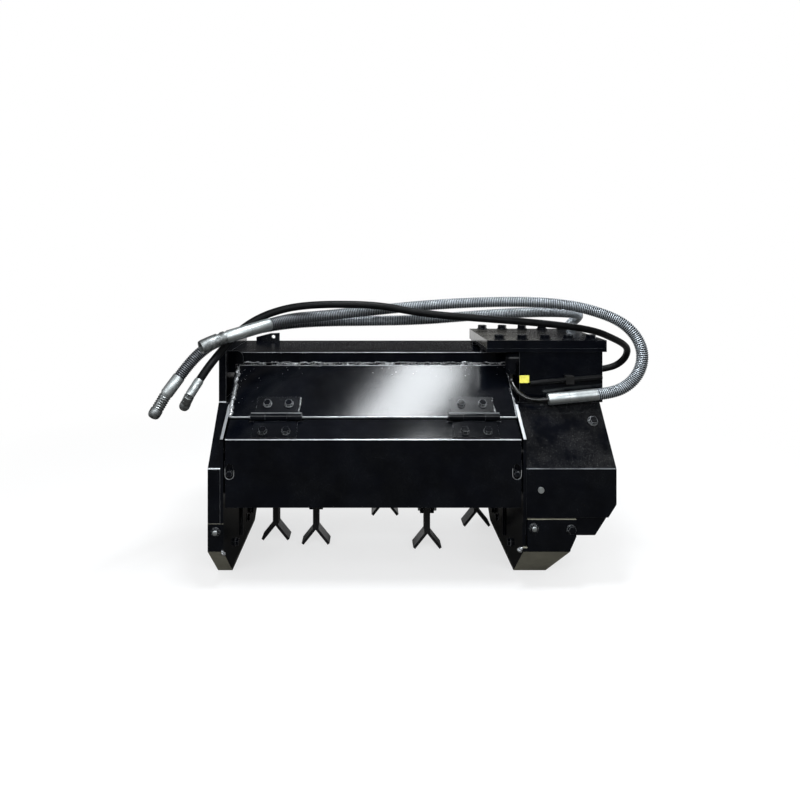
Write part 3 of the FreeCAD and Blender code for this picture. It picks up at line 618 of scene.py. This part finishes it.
def rounded(node, finish, fold=0.0, worn=None, steepest=70, shortest=0.1, edge=0.0009):
    """A copy of a CAD node with rolled folds and eased edges, standing for it; those faces take worn, mostly a
    painted highlight.
    """
    work = bmesh.new()
    work.from_mesh(frame["nodes"][node].data)
    bmesh.ops.remove_doubles(work, verts=work.verts, dist=ONE_POINT)
    bmesh.ops.dissolve_limit(work, angle_limit=FLAT, verts=work.verts, edges=work.edges)
    folds = [e for e in work.edges if len(e.link_faces) == 2 and e.calc_length() > shortest
             and SLIGHTEST_FOLD < math.degrees(e.calc_face_angle()) < steepest]
    # Rolled folds take the second finish, worn, which is mostly a painted highlight.
    if fold and folds:
        bmesh.ops.bevel(work, geom=folds, offset=fold, offset_type="OFFSET", segments=4,
                        profile=0.5, affect="EDGES", clamp_overlap=True, material=1)
    for face in work.faces:
        face.smooth = True
    mesh = bpy.data.meshes.new(node + "_rounded")
    for part in (finish, worn or finish):
        mesh.materials.append(part)
    work.to_mesh(mesh)
    work.free()
    piece = add_object(node + "_rounded", mesh)
    bevel = piece.modifiers.new("edges", "BEVEL")
    bevel.width = edge
    bevel.segments = 2
    # Eased edges take worn too, mostly a paler metal that is a painted highlight.
    bevel.material = 1
    bevel.limit_method = "ANGLE"
    bevel.angle_limit = SHARP
    flatten = piece.modifiers.new("flat faces", "WEIGHTED_NORMAL")
    flatten.mode = "FACE_AREA"
    flatten.weight = 100
    evaluated = piece.evaluated_get(bpy.context.evaluated_depsgraph_get())
    piece.data = bpy.data.meshes.new_from_object(evaluated)
    piece.modifiers.clear()
    piece.data.name = piece.name
    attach(piece, body_of[node])
    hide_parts(node)
    return piece


def split_finish(piece, choose, plain, other):
    """The other finish on the faces that choose picks, and the plain one on the rest."""
    piece.data.materials.clear()
    for finish in (plain, other):
        piece.data.materials.append(finish)
    for face in piece.data.polygons:
        face.material_index = int(choose(face))
    return piece


def touch_up(piece, finish, choose):
    """One more finish, on the faces that choose picks; the rest stay as they are."""
    piece.data.materials.append(finish)
    last = len(piece.data.materials) - 1
    for face in piece.data.polygons:
        if choose(face):
            face.material_index = last


print("rounding ready")

# %% Folded plates
# The third entry is the finish of the rolled folds and eased edges, a painted highlight.
rolled = {
    "front_flap": (black_paint, 0.006, painted_edge_highlight, 70),
    "front_cover": (black_paint, 0.003, painted_edge_highlight, 100),
    "top_deck": (black_paint, 0.0035, painted_edge_highlight, 100),
    "rear_cover": (black_paint, 0.006, edge_sheen, 70),
    "left_shield": (black_paint, 0.0022, painted_edge_highlight, 70),
    "belt_cover": (dusty_paint, 0.0020, edge_sheen, 70),
}
plates = {node: rounded(node, finish, fold, worn, steepest, shortest=0.02)
          for node, (finish, fold, worn, steepest) in rolled.items()}
print("folded", {node: len(piece.data.polygons) for node, piece in plates.items()})

# %% Plain plates, bolts and leaves
# The second finish in each row goes on the eased edges; where it is a paler metal it is a painted highlight.
eased = [
    (black_paint, edge_sheen, 0.0008, ["left_gusset", "hitch_flange", "hitch_rails",
                                       "motor_box"]),
    (leaf_paint, painted_soft_edge_highlight, 0.0024, ["hinge_fixed_leaves"]),
    (black_paint, painted_edge_highlight, 0.0014, ["hinge_flap_leaves"]),
    (leaf_paint, painted_soft_edge_highlight, 0.0028, ["port_elbow"]),
    (black_paint, painted_soft_edge_highlight, 0.0020, ["hinge_fixed_bolts", "hinge_flap_bolts", "flap_studs"]),
    (black_paint, edge_sheen, 0.0014, ["hitch_bolts"]),
    (dusty_paint, edge_sheen, 0.0008, ["rear_lug", "bearing_guards", "rotor_lugs", "rotor_tube"]),
    # The web under the right skid is pale with mud and a painted reflection of the floor.
    (skid_mud_and_reflection_paint, skid_mud_and_reflection_paint, 0.0008, ["right_skid_web"]),
    (zinc, zinc, 0.0008, ["flail_bolts", "hose_b_start", "hose_c_start"]),
    (cast_iron, cast_iron, 0.0010, ["rotor_pulley", "rotor_bearings"]),
    (clip_plastic, clip_plastic, 0.0010, ["pipe_clip"]),
    (tag_plastic, tag_plastic, 0.0004, ["blank_tag"]),
    (flail_finish, flail_finish, 0.0007, ["flail_%02d" % number for number in range(1, 13)]),
]
for finish, worn, edge, nodes in eased:
    for node in nodes:
        plates[node] = rounded(node, finish, worn=worn, edge=edge)
print("eased", sum(len(nodes) for _, _, _, nodes in eased), "pieces")


# %% Where a plate changes its finish
SHOULDER_HEIGHT = 0.462
KNUCKLE_SKIN = (0.009, 0.0107)
_, hinge_y, hinge_z = next(joint["pos_m"] for joint in frame["joints"]
                           if joint["name"] == "flap_hinge")


def painted_highlight_front(face):
    """The narrow front edge of a side plate, where it leans back below its shoulder, which gets a painted
    highlight.
    """
    leaning = face.normal.y < -0.4 and 0.15 < face.normal.z < 0.9 and abs(face.normal.x) < 0.2
    return leaning and face.center.z < SHOULDER_HEIGHT


def painted_highlight_knuckle(face):
    """The top of a hinge knuckle, which gets a painted highlight, told from the leaf by how far it is from the
    pin.
    """
    off_axis = math.hypot(face.center.y - hinge_y, face.center.z - hinge_z)
    skin = KNUCKLE_SKIN[0] < off_axis < KNUCKLE_SKIN[1]
    return skin and face.normal.z > 0.93 and face.normal.y < 0.3


def sole_mud_and_painted_reflection(face):
    """Mud and a painted reflection of the floor go on a skid's sole and rear, not on its upright front."""
    return abs(face.normal.z) > 0.3 or face.normal.y > 0.3


def dusty_top(face):
    """The hitch plate gathers dust on its top and its left end."""
    return face.normal.z > 0.5 or face.normal.x < -0.5


def wiped_front(face):
    """The belt cover's upright front is clean, and the rest of it holds dust."""
    return face.normal.y < -0.95 and face.area > 0.001


# Skid soles and rears take the pale finish: dried mud with a painted reflection of the floor.
for node in ("left_skid", "right_skid"):
    plates[node] = split_finish(rounded(node, black_paint), sole_mud_and_painted_reflection, black_paint,
                                skid_mud_and_reflection_paint)
plates["hitch_plate"] = split_finish(rounded("hitch_plate", black_paint), dusty_top,
                                     black_paint, plate_paint)
# The side plates' leaning fronts and the hinge knuckles' tops get a painted highlight.
for node in ("left_side_plate", "right_side_plate"):
    plates[node] = split_finish(rounded(node, black_paint, edge=0.0022), painted_highlight_front,
                                black_paint, painted_edge_highlight)
touch_up(plates["belt_cover"], black_paint, wiped_front)
for node in ("hinge_fixed_leaves", "hinge_flap_leaves"):
    touch_up(plates[node], painted_edge_highlight, painted_highlight_knuckle)
print("rounded", len(plates), "pieces,", sum(len(p.data.polygons) for p in plates.values()),
      "faces")

# %% [markdown]
# ## Nodes that keep their CAD shape
# The bent pipes and the motor are already round where the real ones are, so new geometry
# would add nothing.  They only get a finish.


# %% Finishes on CAD nodes
for node, finish in (("hose_a_pipe", pipe_steel), ("drain_pipe", hose_rubber),
                     ("hydraulic_motor", cast_iron)):
    mesh = frame["nodes"][node].data
    mesh.materials.clear()
    mesh.materials.append(finish)
    print("finished", node, finish.name)

# %% [markdown]
# ## Skid and cover bolts
# Two of the skids' bolts carry bare zinc caps and the round plug low on the belt cover is
# bare too, because they went in after the paint.  The rest are painted over.  Solids of one
# node are told apart by where they are.


# %% Bare and painted bolts
BARE_BELOW = 0.3
CAP_BACK, CAP_FRONT = -246, -251
CAP_PLACES = ((-512.5, 154), (303.5, 164))
# The eased edges of these bolts take a painted highlight.
skid_bolts = rounded("skid_bolts", black_paint, worn=painted_soft_edge_highlight, edge=0.0012)
cover_bolts = rounded("belt_cover_bolts", dusty_paint, worn=painted_soft_edge_highlight, edge=0.0010)
touch_up(cover_bolts, zinc, lambda face: face.center.z < BARE_BELOW)
tab_caps = joined("tab_bolt_caps", [
    turned("cap", (x, CAP_BACK, z), (x, CAP_FRONT, z),
           [(0, 7.6), (0.5, 7.6), (0.8, 6.6), (1, 4.0)], zinc, 20)
    for x, z in CAP_PLACES])
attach(tab_caps, "housing")
print("bolts", len(skid_bolts.data.polygons), len(cover_bolts.data.polygons))

# %% [markdown]
# ## Rims round the flap's slots
# A thin rim runs round each slot, where the washer sits, and its bright line is a painted highlight.
# It is a thin line with its own thickness, so it is a wire bent to the slot's lower half
# and up its two sides, rather than a pattern in the paint.


# %% Slot rims
def wire(name, points, radius, finish, body):
    """Round wire through these points."""
    curve = bpy.data.curves.new(name, "CURVE")
    curve.dimensions = "3D"
    spline = curve.splines.new("POLY")
    spline.points.add(len(points) - 1)
    for knot, point in zip(spline.points, points):
        knot.co = (*point, 1)
    curve.bevel_depth = radius
    curve.bevel_resolution = 2
    curve.use_fill_caps = True
    bent = bpy.data.objects.new(name, curve)
    bpy.context.scene.collection.objects.link(bent)
    loop = bpy.data.objects.new(name, bpy.data.meshes.new_from_object(bent))
    bpy.data.objects.remove(bent)
    bpy.context.scene.collection.objects.link(loop)
    loop.data.materials.append(finish)
    loop.data.shade_smooth()
    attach(loop, body)
    return loop


SLOT_INSET, RIM_BEND, BEND_HEIGHT = 0.011, 0.0112, 0.299
RIM_TOPS = (0.316, 0.312)
flap_low, flap_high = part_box("front_flap")
for side, x in (("left", flap_low.x + SLOT_INSET), ("right", flap_high.x - SLOT_INSET)):
    rim = [(x + RIM_BEND * math.cos(turn), flap_low.y, BEND_HEIGHT + RIM_BEND * math.sin(turn))
           for turn in (math.radians(180 + 15 * step) for step in range(13))]
    rim = ([(x - RIM_BEND, flap_low.y, RIM_TOPS[0])] + rim
           + [(x + RIM_BEND, flap_low.y, RIM_TOPS[1])])
    # The rim's patchy pale metal is a painted highlight.
    wire("slot_rim_" + side, rim, 0.0010, weld_highlight_metal, "flap")
print("rims on", body_of["front_flap"])

# %% [markdown]
# ## Weld beads
# A weld is a row of overlapping puddles, never quite regular.  The tree drops a squashed
# ball at every step along the seam, turned and sized at random with a fixed seed, and
# spatter is the same ball scattered thinly beside the seam.  A bump in the paint would be
# cheaper, but it would leave the seam's outline flat.


# %% Bead tree
def make_bead_tree():
    """One ball at every step along a path, each turned and squashed at random."""
    tree, given, result = start_tree("weld_beads", [
        ("Step", "NodeSocketFloat"), ("Bead Radius", "NodeSocketFloat"),
        ("Seed", "NodeSocketInt")])
    path = add_node(tree, "GeometryNodeMeshToCurve", {"Mesh": given["Geometry"]})
    stops = add_node(tree, "GeometryNodeCurveToPoints",
                     {"Curve": path.outputs[0], "Length": given["Step"]}, mode="LENGTH")
    ball = add_node(tree, "GeometryNodeMeshIcoSphere",
                    {"Radius": given["Bead Radius"], "Subdivisions": 2})
    spin = add_node(tree, "FunctionNodeRandomValue", data_type="FLOAT_VECTOR")
    spin.inputs["Max"].default_value = (0.9, 0.9, 6.28)  # leans a little, turns right round
    size = add_node(tree, "FunctionNodeRandomValue", data_type="FLOAT_VECTOR")
    size.inputs["Min"].default_value = (0.45, 0.45, 0.40)
    size.inputs["Max"].default_value = (1.45, 1.30, 1.05)
    for node in (spin, size):
        tree.links.new(given["Seed"], node.inputs["Seed"])
    beads = add_node(tree, "GeometryNodeInstanceOnPoints",
                     {"Points": stops.outputs["Points"], "Instance": ball.outputs[0],
                      "Rotation": spin.outputs["Value"], "Scale": size.outputs["Value"]})
    return finish_tree(tree, beads.outputs[0], given, result)


bead_tree = make_bead_tree()
print("bead tree", len(bead_tree.nodes), "nodes")


# %% Welds
WANDER, WANDER_STEP = 0.0026, 0.012


def weld(name, lines, radius, seed, step=0.0056):
    """Beads along each line, wandering a little, as a hand-held torch does."""
    chance = random.Random(seed)
    wavy = []
    for start, end in lines:
        start, end = Vector(start), Vector(end)
        count = max(2, round((end - start).length / WANDER_STEP))
        wavy.append([start.lerp(end, i / count)
                     + Vector([chance.uniform(-WANDER, WANDER) for _ in range(3)])
                     for i in range(count + 1)])
    piece = grow(name, bead_tree, line_mesh(name, wavy), Step=step, Bead_Radius=radius,
                 Seed=seed, Material=weld_highlight_metal)
    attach(piece, "housing")
    print(name, len(piece.data.polygons), "faces")


# %% Seams
x_left, x_right = (corner.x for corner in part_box("front_cover"))
deck_low, box_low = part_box("top_deck")[0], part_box("motor_box")[0]
COVER_FOOT, COVER_HEAD = Vector((0, -0.180, 0.431)), Vector((0, -0.058, 0.550))
COVER_OUT = Vector((0, -0.698, 0.716))


def on_cover(x, share, lift=0.0):
    """The place at x on the sloped cover, share of the way up from its foot."""
    place = COVER_FOOT.lerp(COVER_HEAD, share) + COVER_OUT * lift
    return Vector((x, place.y, place.z))


ROWS = (-0.0030, 0.0028)  # the long weld is two rows of beads, one above the other
y_head, z_head = deck_low.y - 0.003, deck_low.z - 0.0015
top_seams = [
    ((x_left + 0.004, y_head, z_head), (x_left + 0.075, y_head, z_head)),
    ((x_left + 0.095, y_head, z_head), (box_low.x - 0.004, y_head, z_head)),
]
double_seams = [(Vector(a) + Vector((0, 0, up)), Vector(b) + Vector((0, 0, up)))
                for a, b in top_seams for up in ROWS]
weld("cover_top_weld", double_seams, step=0.0050, radius=0.0026, seed=3)
weld("cover_side_weld", [(on_cover(x_left + 0.002, 0.94), on_cover(x_left + 0.001, 0.02))],
     step=0.0050, radius=0.0062, seed=4)
weld("cover_right_weld", [(on_cover(x_right - 0.002, 0.94), on_cover(x_right - 0.001, 0.03))],
     radius=0.0026, seed=5)

# %% Hinge seams and skid tacks
leaf_low, leaf_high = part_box("hinge_fixed_leaves")
LEAF_WIDTH, BARREL_END = 0.116, 0.0110
hinge_seams = [(on_cover(x, 0.03, 0.003), on_cover(x, 0.34, 0.003))
               for x in (leaf_low.x + BARREL_END + LEAF_WIDTH, leaf_high.x - BARREL_END)]
weld("hinge_weld", hinge_seams, step=0.0034, radius=0.0026, seed=6)
TACK_FACE = -0.240
tacks = [((-0.494, TACK_FACE, 0.103), (-0.490, TACK_FACE, 0.100)),
         ((0.266, TACK_FACE, 0.109), (0.272, TACK_FACE, 0.107))]
weld("skid_tacks", tacks, step=0.003, radius=0.0048, seed=7)

# %% Spatter
chance = random.Random(11)
drops = []
for _ in range(90):
    if chance.random() < 0.6:
        x, share = chance.uniform(x_left, x_right), 0.96 - abs(chance.gauss(0, 0.12))
    else:
        x, share = x_left + abs(chance.gauss(0, 0.035)), chance.uniform(0.05, 0.95)
    spot = on_cover(x, share)
    drops.append((spot, spot + Vector((chance.uniform(0.001, 0.004), 0, 0))))
weld("spatter", drops, step=0.02, radius=0.0010, seed=8)
print("drops", len(drops))

# %% [markdown]
# ## Floor
# The head stands on a pale floor against white.  A floor that is pale in every way would
# throw light up under the black plates and grey them, so a Light Path node shows it pale
# only to the eye and in reflections of what lies behind the head.  The light that falls on
# it and bounces meets a dark grey, and the floor keeps the head's shadow.


# %% Light helpers
def ramp(tree, value, start, end, low=0.0, high=1.0):
    """Value mapped from start..end to low..high, held at both ends."""
    return add_node(tree, "ShaderNodeMapRange", {
        "Value": value, "From Min": start, "From Max": end, "To Min": low,
        "To Max": high}).outputs[0]


def combine(tree, operation, first, second):
    """One of Math's operations on two values."""
    return add_node(tree, "ShaderNodeMath", {0: first, 1: second},
                    operation=operation).outputs[0]


def mirrored(tree, seen):
    """1 for a ray that comes off a shiny piece or through a clear one, else 0."""
    return combine(tree, "MAXIMUM", seen.outputs["Is Glossy Ray"],
                   seen.outputs["Is Transmission Ray"])


print("light helpers ready")


# %% Floor
def make_floor():
    """Pale to the eye and in reflections behind the head, plain grey to everything else."""
    material, tree, shader = start_material("pale_floor", Roughness=0.9,
                                            Specular_IOR_Level=0.1)
    seen = add_node(tree, "ShaderNodeLightPath")
    place = place_on_object(tree)
    behind = ramp(tree, add_node(tree, "ShaderNodeSeparateXYZ", {0: place}).outputs["Y"],
                  0.3, 1.5)
    shown = combine(tree, "MAXIMUM", seen.outputs["Is Camera Ray"],
                    combine(tree, "MULTIPLY", mirrored(tree, seen), behind))
    tree.links.new(blend_colours(tree, shown, (0.07, 0.067, 0.062, 1), (0.92, 0.92, 0.92, 1)),
                   shader.inputs["Base Color"])
    bare = add_node(tree, "ShaderNodeEmission", {"Color": (1, 1, 1, 1), "Strength": 1.0})
    far = add_node(tree, "ShaderNodeVectorMath", {0: place}, operation="LENGTH").outputs["Value"]
    paleness = combine(tree, "MULTIPLY", shown, ramp(tree, far, 0.7, 2.2, 0.65, 1.0))
    mix = add_node(tree, "ShaderNodeMixShader",
                   {0: paleness, 1: shader.outputs[0], 2: bare.outputs[0]})
    tree.links.new(mix.outputs[0], tree.nodes["Material Output"].inputs["Surface"])
    mesh = bpy.data.meshes.new("floor")
    mesh.from_pydata([(-9, -9, 0), (9, -9, 0), (9, 9, 0), (-9, 9, 0)], [], [(0, 1, 2, 3)])
    mesh.materials.append(material)
    floor = add_object("floor", mesh)
    return floor


print("stage", make_floor().name)

# %% [markdown]
# ## World
# Black paint mirrors all that is round it, so what the world shows in reflections matters
# more than how it lights the head.  It is white to the eye, but reflections find white only
# low behind the head and a dim room in front, as in a studio with its walls in the dark.


# %% World
def make_world():
    """White to the eye; reflections find white low behind the head and a dim room in front."""
    world = bpy.data.worlds.new("studio")
    world.use_nodes = True
    tree = world.node_tree
    backdrop = tree.nodes["Background"]
    seen = add_node(tree, "ShaderNodeLightPath")
    direction = add_node(tree, "ShaderNodeTexCoord").outputs["Generated"]
    axes = add_node(tree, "ShaderNodeSeparateXYZ", {0: direction}).outputs
    sweep = combine(tree, "MULTIPLY", ramp(tree, axes["Z"], 0.0, 0.08, 1.0, 0.0),
                    ramp(tree, axes["Y"], 0.0, 0.6))
    room = combine(tree, "MULTIPLY", ramp(tree, axes["Y"], -0.75, -0.25, 0.12, 0.17),
                   ramp(tree, axes["Y"], 0.2, 0.7, 1.0, 0.25))
    level = add_node(tree, "ShaderNodeMix", {0: mirrored(tree, seen), 2: 0.62,
                                             3: combine(tree, "MAXIMUM", sweep, room)},
                     data_type="FLOAT")
    strength = add_node(tree, "ShaderNodeMix", {0: seen.outputs["Is Camera Ray"],
                                                2: level.outputs[0], 3: 1.0},
                        data_type="FLOAT")
    tree.links.new(strength.outputs[0], backdrop.inputs["Strength"])
    backdrop.inputs["Color"].default_value = (1, 1, 1, 1)
    bpy.context.scene.world = world
    return world


print("world", make_world().name)

# %% [markdown]
# ## Lamps
# Gloss paint shows a lamp as a shape.  A turned softbox above lays one broad white sheet
# across the sloped cover, a long strip in front draws the bright lines along the folds, and
# two softer lamps fill in the left side and the back.


# %% Lamps
COOL_WHITE = (0.93, 0.97, 1.0)


def softbox(name, place, aim, size, power, turn=0.0):
    """A rectangular soft lamp at place, facing aim, turned about its own axis."""
    lamp = bpy.data.lights.new(name, "AREA")
    lamp.shape = "RECTANGLE"
    lamp.size, lamp.size_y = size
    lamp.color = COOL_WHITE
    lamp.energy = power
    holder = add_object(name, lamp)
    look = (Vector(aim) - Vector(place)).to_track_quat("-Z", "Y").to_matrix().to_4x4()
    holder.matrix_world = (Matrix.Translation(place) @ look
                           @ Matrix.Rotation(math.radians(turn), 4, "Z"))


softbox("overhead_softbox", (0.09, -0.50, 2.10), (0.09, -0.49, 0.5), (0.32, 0.68), 29, -36)
softbox("front_strip", (0, -2.5, 1.60), (0, -0.2, 0.4), (4.4, 0.35), 50)
softbox("left_softbox", (-2.1, -1.6, 1.6), (0, 0, 0.4), (1.6, 1.6), 7)
softbox("rear_softbox", (1.2, 1.8, 2.0), (0, 0, 0.4), (1.2, 1.2), 20)

# %% [markdown]
# ## Riding on the housing
# The plates above ride on their bodies already.  The hoses and what is on them ride on the
# housing and carry their finish, and the CAD tubes and fittings they stand for are hidden.

# %% Ride and hide
for piece, node in ((sleeve_a, "hose_a_start"), (ferrule_a, "hose_a_fitting"),
                    (coupling_a, "hose_a_fitting"), (coupling_b, "hose_b_fitting"),
                    (coupling_c, "hose_c_fitting")):
    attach(piece, "housing")
    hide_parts(node)
for letter, coupling in (("a", ferrule_a), ("b", coupling_b), ("c", coupling_c)):
    route, line, radius = hoses[letter]
    worn = [coupling] + ([guards[letter]] if letter in guards else [])
    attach(route, "housing")
    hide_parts("hose_%s_tube" % letter)
    for piece in worn[1:]:
        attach(piece, "housing")
    print("hose", letter, "declared", round(path_length(line), 3), "m")
